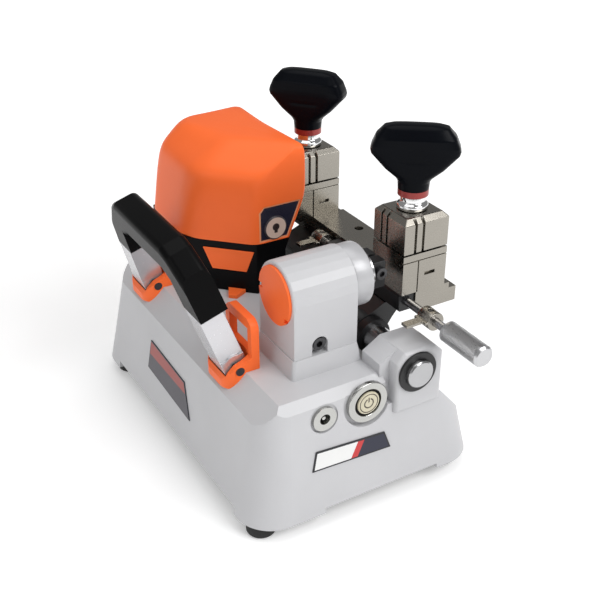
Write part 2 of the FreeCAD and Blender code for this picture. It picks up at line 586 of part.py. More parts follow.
node("hood", cut(hood, hood_in, panel_hole, window, lamp_hole))
panel = cut(prism("YZ", PANEL, 12.9, 15.2, "Panel"), cyl("X", 5, 30, c.lamp_btn_y, c.lamp_btn_z, 7.4 + c.run))
node("hood_panel", panel)
lsw = cut(cyl("X", 15.2, 26, c.lamp_btn_y, c.lamp_btn_z, 9), cyl("X", 10, 20, c.lamp_btn_y, c.lamp_btn_z, 7.4 + c.run))
node("light_switch_body", lsw)
lcap = cyl("X", 11.6, 18, c.lamp_btn_y, c.lamp_btn_z, 7.4)
lcap = round_edges(lcap, lambda a, b: near(a.x, 11.6) and near(b.x, 11.6), 0.7)
node("light_button_cap", lcap)
lamp = fuse(cyl("Y", -27, -18, 32.5, 125, 4), cyl("Y", -18, -14, 32.5, 125, 5))
node("work_lamp", lamp)
TAB = 13.0
# the two bright inserts let into the slanted face of the lower housing
ins = [prism("XZ", [(1.6, 106.6), (33.5, 106.6), (28, 93), (6.5, 93)], 0, 0.8, "Insert"),
       prism("XY", [(TAB - 5.5, 0), (TAB + 5.5, 0), (TAB + 2.6, 9), (TAB - 2.6, 9)], c.deck_z, c.deck_z + 2.4, "Tab")]
for b in ins:
    b.Placement = FreeCAD.Placement(V(12.6, 3.6, 0), ROT(V(0, 0, 1), 45))
node("housing_inserts", group(*ins))

# ------------------------------------------------------ motor and cutter
py, pz = c.spindle_y, c.spindle_z
can = cut(fuse(cyl("X", 61, 92, py, pz, c.motor_r), cyl("X", 92, 94, py, pz, 6)), cyl("X", 50, 93, py, pz, c.spindle_r + c.run))
node("motor_can", can)
brk = cut(fuse(box(58, 61, -13, 20, c.deck_z + 3, 137), box(61, 74, -13, 20, c.deck_z + 3, c.deck_z + 6)),
          cyl("X", 50, 70, py, pz, 5))
node("motor_bracket", brk)
node("motor_shaft", fuse(cyl("X", 44, 92.5, py, pz, c.spindle_r), cyl("X", 55.5, 57.2, py, pz, 9)))
teeth = []
N = 54
for i in range(N):
    a = 2 * math.pi * i / N
    teeth.append((31.0 * math.cos(a), 31.0 * math.sin(a)))
    a += 2 * math.pi / N * 0.78
    teeth.append((29.3 * math.cos(a), 29.3 * math.sin(a)))
disc = prism("YZ", [(num(py) + u, num(pz) + v) for u, v in teeth], 50, 55.5, "Disc", False)
node("cutter_wheel", cut(disc, cyl("X", 40, 60, py, pz, c.spindle_r)))
nut = fuse(ngon("X", 45, 49, py, pz, 6.4), cyl("X", 49, 50, py, pz, 8.5))
node("cutter_nut", cut(nut, cyl("X", 40, 60, py, pz, c.spindle_r)))

# ------------------------------------------------ switch, socket, board
wy, wz = c.switch_y, c.switch_z
node("power_switch_bezel", ring_of("X", -101.4, -98.4, wy, wz, 12.2, 8.1))
psb = fuse(cyl("X", -98.4, -72, wy, wz, 8), cyl("X", -100.7, -98.4, wy, wz, 8.1))
node("power_switch_body", cut(psb, cyl("X", -110, -92, wy, wz, 6.75 + c.run)))
pcap = cyl("X", -101.7, -94, wy, wz, 6.75)
pcap = round_edges(pcap, lambda a, b: near(a.x, -101.7) and near(b.x, -101.7), 0.6)
node("power_button_cap", pcap)
jy, jz = c.jack_y, c.jack_z
jack = fuse(cyl("X", -100.8, -98.7, jy, jz, 7), cyl("X", -98.7, -82, jy, jz, 5.5))
jack = fuse(cut(jack, cyl("X", -110, -86, jy, jz, 3.1)), cyl("X", -99.5, -85, jy, jz, 1))
node("dc_jack", jack)
node("jack_nut", cut(ngon("X", -94, -91.5, jy, jz, 8.5), cyl("X", -100, -90, jy, jz, 5.5)))
pcb = fuse(box(-55, 5, -15, 35, 14, 15.6), box(-40, -28, -5, 10, 15.6, 24), box(-20, -2, 12, 26, 15.6, 22),
           cyl("Z", 15.6, 27, -12, -4, 5))
node("control_board", pcb)

# --------------------------------------------------------- handle brackets
gpy, gpz = c.grip_y, c.grip_z
for tag, x in (("front", c.grip_x_front), ("rear", c.grip_x_rear)):
    b = cut(bracket_block(x), cyl("X", x - 10.4, x + 10.4, gpy, gpz, 7.5), box(x - 10.4, x + 10.4, 45, 80, gpz, 95),
            box(x - 10.4, x + 10.4, 35, 47, 88, 102.5), cyl("X", x - 20, x + 20, gpy, gpz, c.pin_r))
    node("handle_bracket_" + tag, b)
node("handle_pins", group(*[cyl("X", x - 14.8, x + 14.8, gpy, gpz, c.pin_r) for x in (c.grip_x_front, c.grip_x_rear)]))

# ------------------------------------------------------------------ handle
# Drawn upright about its pivot line and leaned outward about that line.
lean = ROT(V(1, 0, 0), -num(c.grip_lean))
SPLAY = 0.217
xa, xb = num(c.grip_x_front), num(c.grip_x_rear)


def leg_pts(x, sign, s0, s1, h):
    return [(x - h + sign * SPLAY * s0, s0), (x + h + sign * SPLAY * s0, s0),
            (x + h + sign * SPLAY * s1, s1), (x - h + sign * SPLAY * s1, s1)]


legs = []
for x, sign in ((xa, 1), (xb, -1)):
    lower = box(x - 9, x + 9, -7, 7, 0, 6)
    upper = prism("XZ", leg_pts(x, sign, 5, 32 if sign > 0 else 31, 9 if sign > 0 else 8.4), -7, 7, "Leg")
    leg = fuse(lower, upper, cyl("X", x - 9, x + 9, 0, 0, c.leg_half_y))
    legs.append(cut(leg, cyl("X", x - 30, x + 30, 0, 0, c.pin_r + c.run)))
node("handle_legs", group(*legs), lean, (0, gpy, gpz))
g = [(xa - 11 + SPLAY * 32, 32), (xa + 10 + SPLAY * 32, 32), (xa + 10 + SPLAY * 44, 44), (xa + 18 + SPLAY * 50, 50.5),
     (xb - 18 - SPLAY * 50, 50.5), (xb - 10 - SPLAY * 44, 44), (xb - 10 - SPLAY * 31, 31), (xb + 9 - SPLAY * 31, 31),
     (xb + 6 - SPLAY * 55, 55), (xb - 2.5 - SPLAY * 66, 66), (xb - 9 - SPLAY * 70, 70),
     (xa + 5 + SPLAY * 70, 70), (xa - 2 + SPLAY * 67, 67), (xa - 10 + SPLAY * 57, 57)]
grip = prism("XZ", g, -9.5, 7, "Grip")
grip = round_edges(grip, lambda a, b: near(a.y, b.y) and a.z > 32.5 and b.z > 32.5, 4)
node("handle_grip", grip, lean, (0, gpy, gpz))

# ------------------------------------------------------------------ labels
dx = (num(hl) - num(tl)) / (num(c.case_draft_top) - num(c.case_bottom))
dy = (num(hw) - num(tw)) / (num(c.case_draft_top) - num(c.case_bottom))
ax, ay = math.atan(dx), math.atan(dy)
E = [(35, 36.8), (-14.3, 34.8), (-10.8, 45.2), (32.2, 48)]
lab = prism("YZ", [(y, (z - 8.5) / math.cos(ax)) for y, z in E], -0.6, 0, "EndLabel")
node("end_label_plate", lab, ROT(V(0, 1, 0), math.degrees(ax)), (-c.case_half_len, 0, c.case_bottom))
D = [(37.9, 51.2), (-10.2, 48.9), (-22, 30.2), (38.3, 33)]
lab = prism("XZ", [(x, (z - 8.5) / math.cos(ay)) for x, z in D], 0, 0.6, "SideLabel")
node("side_label_plate", lab, ROT(V(1, 0, 0), math.degrees(ay)), (0, c.case_half_wid, c.case_bottom))

# ------------------------------------------------------- check and write
doc.recompute()
bad = []
for o in doc.Objects:
    if "Invalid" in o.State or "Error" in o.State:
        bad.append(o.Name + " " + o.Label)
for label, o in NODES:
    if o.Shape.isNull() or not o.Shape.isValid() or not o.Shape.Solids:
        bad.append(label + " shape")
if bad:
    raise RuntimeError("not built: " + ", ".join(bad))
low, high = [1e9] * 3, [-1e9] * 3
for label, o in NODES:
    bb = o.Shape.BoundBox
    low = [min(a, b) for a, b in zip(low, (bb.XMin, bb.YMin, bb.ZMin))]
    high = [max(a, b) for a, b in zip(high, (bb.XMax, bb.YMax, bb.ZMax))]
    print("%-22s solids %d vol %.0f  X %.1f..%.1f Y %.1f..%.1f Z %.1f..%.1f" % (
        label, len(o.Shape.Solids), o.Shape.Volume, bb.XMin, bb.XMax, bb.YMin, bb.YMax, bb.ZMin, bb.ZMax))
    o.Shape.exportStep("parts/%s.step" % label)
print("nodes", len(NODES), "box", [round(a, 3) for a in low], [round(a, 3) for a in high])
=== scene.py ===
import bpy
import bmesh
import math
from mathutils import Vector, Matrix


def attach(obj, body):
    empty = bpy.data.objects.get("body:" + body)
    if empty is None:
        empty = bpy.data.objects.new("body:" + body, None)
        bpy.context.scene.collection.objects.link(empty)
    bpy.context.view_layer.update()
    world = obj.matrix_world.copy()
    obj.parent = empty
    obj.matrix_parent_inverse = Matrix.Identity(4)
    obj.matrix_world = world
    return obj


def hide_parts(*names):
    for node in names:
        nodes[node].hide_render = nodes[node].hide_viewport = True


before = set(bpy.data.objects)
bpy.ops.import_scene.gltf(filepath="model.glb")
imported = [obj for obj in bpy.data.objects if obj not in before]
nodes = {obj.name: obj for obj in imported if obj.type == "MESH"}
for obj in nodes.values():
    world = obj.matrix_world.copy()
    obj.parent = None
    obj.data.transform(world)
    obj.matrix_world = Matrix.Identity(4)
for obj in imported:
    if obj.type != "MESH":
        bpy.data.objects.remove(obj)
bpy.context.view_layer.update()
scene = bpy.context.scene
scene.view_settings.view_transform = "Standard"

# the build frame of the machine, in millimetres, sits this far from the shared frame
SX, SY = 12.5, -0.6575


def P(x, y, z):
    return Vector(((x + SX) / 1000.0, (y + SY) / 1000.0, z / 1000.0))


# ------------------------------------------------------------------ materials
class Tree:
    """A little helper that wires shader nodes."""

    def __init__(self, name):
        self.mat = bpy.data.materials.new(name)
        self.mat.use_nodes = True
        self.nt = self.mat.node_tree
        self.bsdf = self.nt.nodes["Principled BSDF"]
        self.co = self.nt.nodes.new("ShaderNodeTexCoord").outputs["Object"]

    def new(self, kind, **props):
        n = self.nt.nodes.new(kind)
        for k, v in props.items():
            setattr(n, k, v)
        return n

    def link(self, a, b):
        self.nt.links.new(a, b)

    def math(self, op, a, b=None, c=None):
        n = self.new("ShaderNodeMath", operation=op)
        for i, v in enumerate((a, b, c)):
            if v is None:
                continue
            if isinstance(v, (int, float)):
                n.inputs[i].default_value = v
            else:
                self.link(v, n.inputs[i])
        return n.outputs[0]

    def stretch(self, scale):
        m = self.new("ShaderNodeMapping")
        m.inputs["Scale"].default_value = scale
        self.link(self.co, m.inputs["Vector"])
        return m.outputs[0]

    def noise(self, scale, detail=3.0, rough=0.55, stretch=None):
        n = self.new("ShaderNodeTexNoise")
        n.inputs["Scale"].default_value = scale
        n.inputs["Detail"].default_value = detail
        n.inputs["Roughness"].default_value = rough
        self.link(self.stretch(stretch) if stretch else self.co, n.inputs["Vector"])
        return n.outputs["Fac"]

    def ramp(self, fac, stops):
        r = self.new("ShaderNodeValToRGB")
        e = r.color_ramp.elements
        while len(e) < len(stops):
            e.new(0.5)
        for el, (pos, col) in zip(e, stops):
            el.position = pos
            el.color = (*col, 1.0)
        self.link(fac, r.inputs["Fac"])
        return r.outputs["Color"]

    def mix(self, fac, a, b):
        n = self.new("ShaderNodeMix", data_type="RGBA")
        self.link(fac, n.inputs["Factor"])
        for sock, v in ((n.inputs[6], a), (n.inputs[7], b)):
            if isinstance(v, tuple):
                sock.default_value = (*v, 1.0)
            else:
                self.link(v, sock)
        return n.outputs[2]

    def bump(self, height, strength, dist):
        n = self.new("ShaderNodeBump")
        n.inputs["Strength"].default_value = strength
        n.inputs["Distance"].default_value = dist
        self.link(height, n.inputs["Height"])
        self.link(n.outputs["Normal"], self.bsdf.inputs["Normal"])

    def axis(self, which):
        s = self.new("ShaderNodeSeparateXYZ")
        self.link(self.co, s.inputs[0])
        return s.outputs["XYZ".index(which)]

    def plane(self, vec, const):
        """vec . position + const"""
        d = self.new("ShaderNodeVectorMath", operation="DOT_PRODUCT")
        self.link(self.co, d.inputs[0])
        d.inputs[1].default_value = vec
        return self.math("ADD", d.outputs["Value"], const)


def shade(name, col, rough, metal=0.0, var=0.12, grain=900.0, bump=0.08, dist=0.0002, stretch=None,
          rough_var=0.08, coat=0.0, coat_rough=0.2, spec=0.5):
    """Base colour with a slow drift, roughness that wanders and a fine grain in the surface."""
    t = Tree(name)
    slow = t.noise(28.0, 4.0)
    dark = tuple(c * (1.0 - var) for c in col)
    light = tuple(min(1.0, c * (1.0 + var * 0.6)) for c in col)
    t.base = t.ramp(slow, [(0.3, dark), (0.7, light)])
    t.link(t.base, t.bsdf.inputs["Base Color"])
    fine = t.noise(grain, 2.0, 0.5, stretch)
    r = t.new("ShaderNodeMapRange")
    r.inputs["To Min"].default_value = max(0.02, rough - rough_var)
    r.inputs["To Max"].default_value = min(1.0, rough + rough_var)
    t.link(fine, r.inputs["Value"])
    t.link(r.outputs[0], t.bsdf.inputs["Roughness"])
    t.bump(fine, bump, dist)
    t.bsdf.inputs["Metallic"].default_value = metal
    t.bsdf.inputs["Specular IOR Level"].default_value = spec
    if coat:
        t.bsdf.inputs["Coat Weight"].default_value = coat
        t.bsdf.inputs["Coat Roughness"].default_value = coat_rough
    return t


M = {
    "case": shade("case_paint", (0.545, 0.545, 0.560), 0.38, 0.0, 0.03, 1500, 0.05, 0.0001),
    # the tracer ring carries the same grey paint as the block; this darker copy of that paint is painted shade on
    # the ring
    "ring": shade("ring_paint", (0.49, 0.49, 0.505), 0.34, 0.15, 0.04, 1500, 0.05, 0.0001),
    "orange": shade("orange_plastic", (1.0, 0.168, 0.038), 0.38, 0.0, 0.04, 1200, 0.03, 0.0001, spec=0.16),
    "black": shade("black_plastic", (0.003, 0.003, 0.0035), 0.36, 0.0, 0.25, 2400, 0.1, 0.0001, spec=0.08),
    "knob": shade("knob_plastic", (0.0022, 0.0028, 0.0045), 0.30, 0.0, 0.2, 2600, 0.06, 0.0001, spec=0.06),
    "grip": shade("grip_rubberised", (0.0028, 0.0028, 0.003), 0.36, 0.0, 0.25, 2000, 0.1, 0.0001, spec=0.07),
    "rubber": shade("foot_rubber", (0.012, 0.012, 0.012), 0.75, 0.0, 0.3, 1500, 0.4, 0.0002),
    "nickel": shade("nickel_plate", (0.315, 0.296, 0.262), 0.27, 1.0, 0.05, 1400, 0.004, 0.00002, (0.3, 0.3, 2.0), rough_var=0.03),
    "steel": shade("machined_steel", (0.46, 0.46, 0.47), 0.24, 1.0, 0.08, 1400, 0.01, 0.00003, (3.0, 0.3, 0.3), rough_var=0.04),
    "steel_dark": shade("dark_steel", (0.10, 0.10, 0.105), 0.35, 1.0, 0.2, 1500, 0.15, 0.00008),
    "chrome": shade("bright_plate", (0.70, 0.70, 0.70), 0.12, 1.0, 0.05, 1200, 0.01, 0.00002, rough_var=0.03),
    "bezel": shade("satin_plate", (0.50, 0.50, 0.48), 0.20, 1.0, 0.05, 1200, 0.01, 0.00002, rough_var=0.03),
    "red": shade("red_ring", (0.30, 0.035, 0.03), 0.3, 0.3, 0.15, 1500, 0.05, 0.00005),
    "blackmetal": shade("black_oxide", (0.012, 0.012, 0.013), 0.38, 0.2, 0.3, 1600, 0.15, 0.0001),
    "silver": shade("silver_leg", (0.58, 0.58, 0.60), 0.26, 0.65, 0.04, 1500, 0.008, 0.00002, rough_var=0.03),
    "lamp": shade("lamp_lens", (0.80, 0.80, 0.74), 0.18, 0.0, 0.05, 1500, 0.03, 0.00004, coat=0.5),
    "board": shade("board_green", (0.02, 0.12, 0.05), 0.5, 0.0, 0.2, 900, 0.1, 0.0001),
}


def edges_of(t, pts, plane):
    """Smallest distance to the outline's edges; pts in build millimetres, plane 'YZ' or 'XZ'."""
    k = 1 if plane == "YZ" else 0
    w = [P(0, u, v) if plane == "YZ" else P(u, 0, v) for u, v in pts]
    q = [(p[k], p[2]) for p in w]
    area = sum(q[i][0] * q[(i + 1) % len(q)][1] - q[(i + 1) % len(q)][0] * q[i][1] for i in range(len(q)))
    turn = 1.0 if area > 0 else -1.0
    out = None
    ds = []
    for i in range(len(q)):
        (u0, v0), (u1, v1) = q[i], q[(i + 1) % len(q)]
        L = math.hypot(u1 - u0, v1 - v0)
        nu, nv = -(v1 - v0) / L * turn, (u1 - u0) / L * turn
        vec = (0, nu, nv) if plane == "YZ" else (nu, 0, nv)
        d = t.plane(vec, -(nu * u0 + nv * v0))
        ds.append(d)
        out = d if out is None else t.math("MINIMUM", out, d)
    return out, ds


# printed plate on the end: pale field, red slash, dark field, dark outline; no words
END = [(35, 36.8), (-14.3, 34.8), (-10.8, 45.2), (32.2, 48)]
t = shade("end_plate", (0.80, 0.80, 0.79), 0.35, 0.0, 0.03, 1500, 0.03, 0.00005)
d, ds = edges_of(t, END, "YZ")
slash = t.plane((0, 1.0, 0.55), -(P(0, 8.5, 0)[1] + 0.55 * 0.0415))
red = t.math("LESS_THAN", slash, 0.0)
navy = t.math("LESS_THAN", slash, -0.0042)
col = t.mix(red, t.base, (0.55, 0.03, 0.03))
col = t.mix(navy, col, (0.012, 0.014, 0.035))
col = t.mix(t.math("LESS_THAN", d, 0.0009), col, (0.008, 0.008, 0.012))
t.link(col, t.bsdf.inputs["Base Color"])
M["end_label"] = t

# printed plate on the side: dark grey with a muted red band along the top
SIDE = [(37.9, 51.2), (-10.2, 48.9), (-22, 30.2), (38.3, 33)]
t = shade("side_plate", (0.075, 0.07, 0.085), 0.4, 0.0, 0.15, 1500, 0.03, 0.00005)
d, ds = edges_of(t, SIDE, "XZ")
band = t.math("LESS_THAN", t.math("SUBTRACT", ds[0], t.math("MULTIPLY", ds[1], 0.06)), 0.0058)
col = t.mix(band, t.base, (0.36, 0.075, 0.065))
col = t.mix(t.math("LESS_THAN", d, 0.0006), col, (0.03, 0.03, 0.04))
t.link(col, t.bsdf.inputs["Base Color"])
M["side_label"] = t

# dark panel; the pale orange band round its edge is a painted highlight, standing for the lit edge of the hood's
# opening
PANEL = [(-27, 134.5), (-1.5, 134.5), (1.5, 131), (1.5, 112), (-17.6, 112)]
t = shade("panel_film", (0.014, 0.014, 0.032), 0.30, 0.0, 0.2, 1500, 0.03, 0.00005, coat=0.2)
d, ds = edges_of(t, PANEL, "YZ")
# pale orange band: painted highlight of the hood's lit edge round the panel
rim = t.math("LESS_THAN", d, 0.0011)
t.link(t.mix(rim, t.base, (0.80, 0.34, 0.17)), t.bsdf.inputs["Base Color"])
M["panel"] = t


def sym(t, y0, z0):
    c0 = P(0, y0, z0)
    dy = t.math("SUBTRACT", t.axis("Y"), c0[1])
    dz = t.math("SUBTRACT", t.axis("Z"), c0[2])
    r = t.math("SQRT", t.math("ADD", t.math("MULTIPLY", dy, dy), t.math("MULTIPLY", dz, dz)))
    return dy, dz, r


def between(t, v, a, b):
    return t.math("MULTIPLY", t.math("GREATER_THAN", v, a), t.math("LESS_THAN", v, b))


# power button: open ring and bar
t = shade("power_cap", (0.60, 0.55, 0.40), 0.28, 0.0, 0.06, 1500, 0.03, 0.00005, coat=0.3)
dy, dz, r = sym(t, -0.6, 67)
ady = t.math("ABSOLUTE", dy)
gap = t.math("MULTIPLY", t.math("LESS_THAN", ady, 0.00095), t.math("GREATER_THAN", dz, 0.0))
ring = t.math("MULTIPLY", between(t, r, 0.0023, 0.0031), t.math("SUBTRACT", 1.0, gap))
bar = t.math("MULTIPLY", t.math("LESS_THAN", ady, 0.0004), between(t, dz, 0.0006, 0.0036))
rim = between(t, r, 0.0052, 0.0058)
mark = t.math("MAXIMUM", t.math("MAXIMUM", ring, bar), rim)
t.link(t.mix(mark, t.base, (0.05, 0.035, 0.02)), t.bsdf.inputs["Base Color"])
M["power_cap"] = t

# lamp button: plain lamp shape
t = shade("lamp_cap", (0.66, 0.50, 0.42), 0.30, 0.0, 0.06, 1500, 0.03, 0.00005, coat=0.3)
dy, dz, r = sym(t, -9, 120.6)
disc = t.math("LESS_THAN", r, 0.0023)
neck = t.math("MULTIPLY", t.math("LESS_THAN", t.math("ABSOLUTE", dy), 0.0011), between(t, dz, -0.0037, 0.0))
mark = t.math("MAXIMUM", disc, neck)
edge = t.math("GREATER_THAN", sym(t, -9, 120)[2], 0.0066)
col = t.mix(edge, t.base, (0.03, 0.025, 0.035))
t.link(t.mix(mark, col, (0.025, 0.015, 0.015)), t.bsdf.inputs["Base Color"])
M["lamp_cap"] = t

# knurled knob: two crossing helices round the rod's axis
t = shade("knurled_steel", (0.56, 0.56, 0.57), 0.30, 1.0, 0.1, 1500, 0.05, 0.00005)
a0 = P(0, -44.2, 101.5)
ang = t.math("ARCTAN2", t.math("SUBTRACT", t.axis("Y"), a0[1]), t.math("SUBTRACT", t.axis("Z"), a0[2]))
u = t.math("MULTIPLY", ang, 42.0)
v = t.math("MULTIPLY", t.axis("X"), 7000.0)
h = t.math("MAXIMUM", t.math("SINE", t.math("ADD", u, v)), t.math("SINE", t.math("SUBTRACT", u, v)))
body = between(t, t.axis("X"), P(-135.5, 0, 0)[0], P(-110.5, 0, 0)[0])
t.bump(t.math("MULTIPLY", h, body), 0.9, 0.0004)
M["knurl"] = t

# cutter wheel: ground steel with fine turning marks
t = shade("cutter_steel", (0.45, 0.45, 0.46), 0.24, 1.0, 0.1, 1500, 0.05, 0.00005)
c0 = P(0, -3, 119.5)
dy = t.math("SUBTRACT", t.axis("Y"), c0[1])
dz = t.math("SUBTRACT", t.axis("Z"), c0[2])
r = t.math("SQRT", t.math("ADD", t.math("MULTIPLY", dy, dy), t.math("MULTIPLY", dz, dz)))
t.bump(t.math("SINE", t.math("MULTIPLY", r, 9000.0)), 0.3, 0.00008)
M["cutter"] = t

WEAR = {
    "case": "base_casing tracer_block", "ring": "tracer_ring",
    "orange": "hood tracer_cap housing_inserts handle_bracket_front handle_bracket_rear",
    "black": "motor_housing light_switch_body power_switch_body bottom_plate", "grip": "handle_grip",
    "knob": "front_wing_knob rear_wing_knob", "rubber": "rubber_feet",
    "nickel": "front_lower_jaw rear_lower_jaw front_upper_jaw rear_upper_jaw carriage_plate gauge_fingers",
    "steel": "carriage_shaft clamp_studs tracer_quill tracer_point motor_shaft cutter_nut gauge_rod motor_bracket motor_can",
    "chrome": "front_knob_collar rear_knob_collar", "bezel": "power_switch_bezel dc_jack jack_nut",
    "red": "front_knob_ring rear_knob_ring", "blackmetal": "shaft_collars carriage_arm carriage_bar tracer_clamp shaft_bushes",
    "steel_dark": "foot_screws tracer_block_bolts housing_screws plate_screws tracer_screw gauge_screws handle_pins",
    "silver": "handle_legs", "lamp": "work_lamp", "board": "control_board", "end_label": "end_label_plate",
    "side_label": "side_label_plate", "panel": "hood_panel", "power_cap": "power_button_cap",
    "lamp_cap": "light_button_cap", "knurl": "gauge_knob", "cutter": "cutter_wheel",
}
for key, names in WEAR.items():
    for n in names.split():
        slots = nodes[n].material_slots
        if slots:
            for s in slots:
                s.material = M[key].mat
        else:
            nodes[n].data.materials.append(M[key].mat)

# softened edges, so that corners catch the light
SOFT = {"base_casing": (2.6, 4), "tracer_block": (0.9, 3), "motor_housing": (1.2, 3),
        "handle_legs": (1.2, 3), "front_upper_jaw": (0.45, 2), "rear_upper_jaw": (0.45, 2),
        "front_lower_jaw": (0.45, 2), "rear_lower_jaw": (0.45, 2), "carriage_plate": (0.5, 2),
        "carriage_bar": (0.5, 2), "carriage_arm": (0.8, 2), "handle_bracket_front": (1.3, 3),
        "handle_bracket_rear": (1.3, 3), "tracer_clamp": (0.5, 2), "tracer_cap": (0.5, 2),
        "power_switch_bezel": (0.6, 3), "dc_jack": (0.4, 3), "shaft_bushes": (0.4, 2), "carriage_shaft": (0.3, 2),
        "housing_inserts": (0.25, 2), "handle_grip": (2.6, 4), "gauge_fingers": (0.3, 2), "rubber_feet": (0.6, 2),
        "tracer_ring": (0.6, 2), "front_knob_collar": (0.4, 2), "rear_knob_collar": (0.4, 2)}
for n, (w, seg) in SOFT.items():
    o = nodes[n]
    weld = o.modifiers.new("Weld", "WELD")
    weld.merge_threshold = 0.00002
    b = o.modifiers.new("Bevel", "BEVEL")
    b.width = w / 1000.0
    b.segments = seg
    b.limit_method = "ANGLE"
    b.angle_limit = math.radians(12 if n == "handle_grip" else 28)
    b.harden_normals = True
    b.use_clamp_overlap = True

# --------------------------------------------------------------- wing knobs
def baked(o):
    """Give an object the mesh that its modifiers make, and drop them."""
    bpy.context.view_layer.update()
    dg = bpy.context.evaluated_depsgraph_get()
    me = bpy.data.meshes.new_from_object(o.evaluated_get(dg))
    o.modifiers.clear()
    o.data = me
    return o


def from_rows(name, rows, close_top=True, close_foot=True):
    bm = bmesh.new()
    vs = [[bm.verts.new(p) for p in row] for row in rows]
    n = len(rows[0])
    for r0, r1 in zip(vs, vs[1:]):
        for i in range(n):
            bm.faces.new((r0[i], r0[(i + 1) % n], r1[(i + 1) % n], r1[i]))
    if close_top:
        bm.faces.new(vs[-1])
    if close_foot:
        bm.faces.new(list(reversed(vs[0])))
    bmesh.ops.remove_doubles(bm, verts=bm.verts, dist=0.000004)
    bmesh.ops.recalc_face_normals(bm, faces=bm.faces)
    bm.normal_update()
    mid = sum((v.co for v in bm.verts), Vector()) / len(bm.verts)
    if sum((f.calc_center_median() - mid).dot(f.normal) * f.calc_area() for f in bm.faces) < 0:
        bmesh.ops.reverse_faces(bm, faces=bm.faces)
    me = bpy.data.meshes.new(name)
    bm.to_mesh(me)
    bm.free()
    o = bpy.data.objects.new(name, me)
    scene.collection.objects.link(o)
    return o


def smooth(o, deg):
    for p in o.data.polygons:
        p.use_smooth = True
    o.data.set_sharp_from_angle(angle=math.radians(deg))


def lerp_table(tab, z):
    for a, b in zip(tab, tab[1:]):
        if a[0] <= z <= b[0]:
            k = (z - a[0]) / (b[0] - a[0])
            return [u + (v - u) * k for u, v in zip(a, b)]
    return list(tab[-1])


def wing(name, x, turn, body, node):
    """A winged knob: round neck that opens into two flat wings with a bevelled band along the top."""
    # height, half length, half thickness, squareness of the section
    tab = [(161.5, 8.4, 8.3, 2.0), (165.8, 8.7, 8.4, 2.1), (168.2, 10.1, 8.5, 2.4), (170.6, 12.8, 8.6, 3.0),
           (173.5, 16.0, 8.7, 3.8), (181.7, 23.3, 9.0, 4.6), (183.7, 23.8, 9.1, 4.6), (185.8, 23.3, 9.1, 4.6),
           (190.4, 21.3, 8.8, 4.6), (191.2, 20.8, 8.5, 4.5), (195.6, 17.1, 5.7, 4.0), (196.7, 13.6, 4.3, 3.6),
           (197.2, 9.2, 2.4, 3.0)]
    zs = sorted({t[0] for t in tab} | {161.5 + 35.7 * k / 30 for k in range(31)})
    N = 72
    rows = []
    for z in zs:
        _, a, b, e = lerp_table(tab, z)
        row = []
        for i in range(N):
            th = 2 * math.pi * (i + 0.5) / N
            cx, sy = math.cos(th), math.sin(th)
            px = math.copysign(abs(cx) ** (2 / e), cx) * a
            py = math.copysign(abs(sy) ** (2 / e), sy) * b
            # the low crown of the top and one straight groove across each flat side
            if abs(z - 178.16) < 0.45 and abs(px) < 9.5 and e > 3.5:
                py -= math.copysign(0.35, py)
            row.append((px / 1000, py / 1000, z / 1000))
        rows.append(row)
    o = from_rows(name, rows)
    smooth(o, 24)
    b = o.modifiers.new("Bevel", "BEVEL")
    b.width, b.segments, b.limit_method, b.angle_limit = 0.0007, 2, "ANGLE", math.radians(24)
    baked(o)
    smooth(o, 40)
    o.data.transform(Matrix.Translation(P(x, -55, 0)) @ Matrix.Rotation(math.radians(turn), 4, "Z"))
    o.data.materials.clear()
    o.data.materials.append(M["knob"].mat)
    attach(o, body)
    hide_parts(node)
    return o


wing("wing_knob_front_skin", -57.5, 53.0, "front_knob", "front_wing_knob")
wing("wing_knob_rear_skin", 52.5, 39.0, "rear_knob", "rear_wing_knob")


# ------------------------------------------------------------------- hood skin
def rounded(poly, radii, k=8, m=8):
    """A closed outline with arcs at its corners: k points on each arc, m on each straight."""
    n = len(poly)
    ends = []
    for i in range(n):
        p, q, r = Vector(poly[i - 1]), Vector(poly[i]), Vector(poly[(i + 1) % n])
        a, b = (p - q).normalized(), (r - q).normalized()
        half = a.angle(b) / 2
        cut = min(radii[i] / math.tan(half), 0.46 * min((p - q).length, (r - q).length))
        rad = cut * math.tan(half)
        mid = q + (a + b).normalized() * (rad / math.sin(half))
        ends.append((q + a * cut, q + b * cut, mid, rad))
    out = []
    for i in range(n):
        t0, t1, mid, rad = ends[i]
        u, v = t0 - mid, t1 - mid
        a0 = math.atan2(u.y, u.x)
        turn = (math.atan2(v.y, v.x) - a0 + math.pi) % (2 * math.pi) - math.pi
        for s in range(k):
            th = a0 + turn * s / (k - 1)
            out.append(mid + Vector((math.cos(th), math.sin(th))) * rad)
        nxt = ends[(i + 1) % n][0]
        for s in range(1, m + 1):
            out.append(t1.lerp(nxt, s / (m + 1)))
    return out


HOOD = [(111.4, [(12.4, -19.2), (12.4, 4), (44, 35.6), (98.6, 34.6), (98.6, -19.2)], [2, 12, 28, 10, 5]),
        (137.0, [(12.2, -30), (12.2, 2), (42.2, 32.2), (98.2, 31.0), (98.2, -30)], [2, 12, 28, 10, 5]),
        (153.0, [(12.2, -30), (12.4, 1), (40.8, 29.4), (96.6, 28.8), (97.4, -30)], [2, 12, 26, 11, 5]),
        (168.2, [(12.6, -29.4), (13.6, -26.2), (43.4, 5), (92, 20.5), (96.4, -29.4)], [0.8, 2, 20, 13, 5])]
outlines = [(z, rounded(pl, rd)) for z, pl, rd in HOOD]
cnt = len(outlines[0][1])
centre = Vector((60.0, -10.0, 168.8))
paths = []
for i in range(cnt):
    knots = [Vector((o[i][0], o[i][1], z)) for z, o in outlines]
    line = []
    for a, b, steps in zip(knots, knots[1:], (14, 14, 16)):
        line += [a.lerp(b, s / steps) for s in range(steps)]
    rim = knots[-1]
    line += [rim.lerp(centre, 0.85 * s / 22) for s in range(23)]
    paths.append(line)
L = len(paths[0])


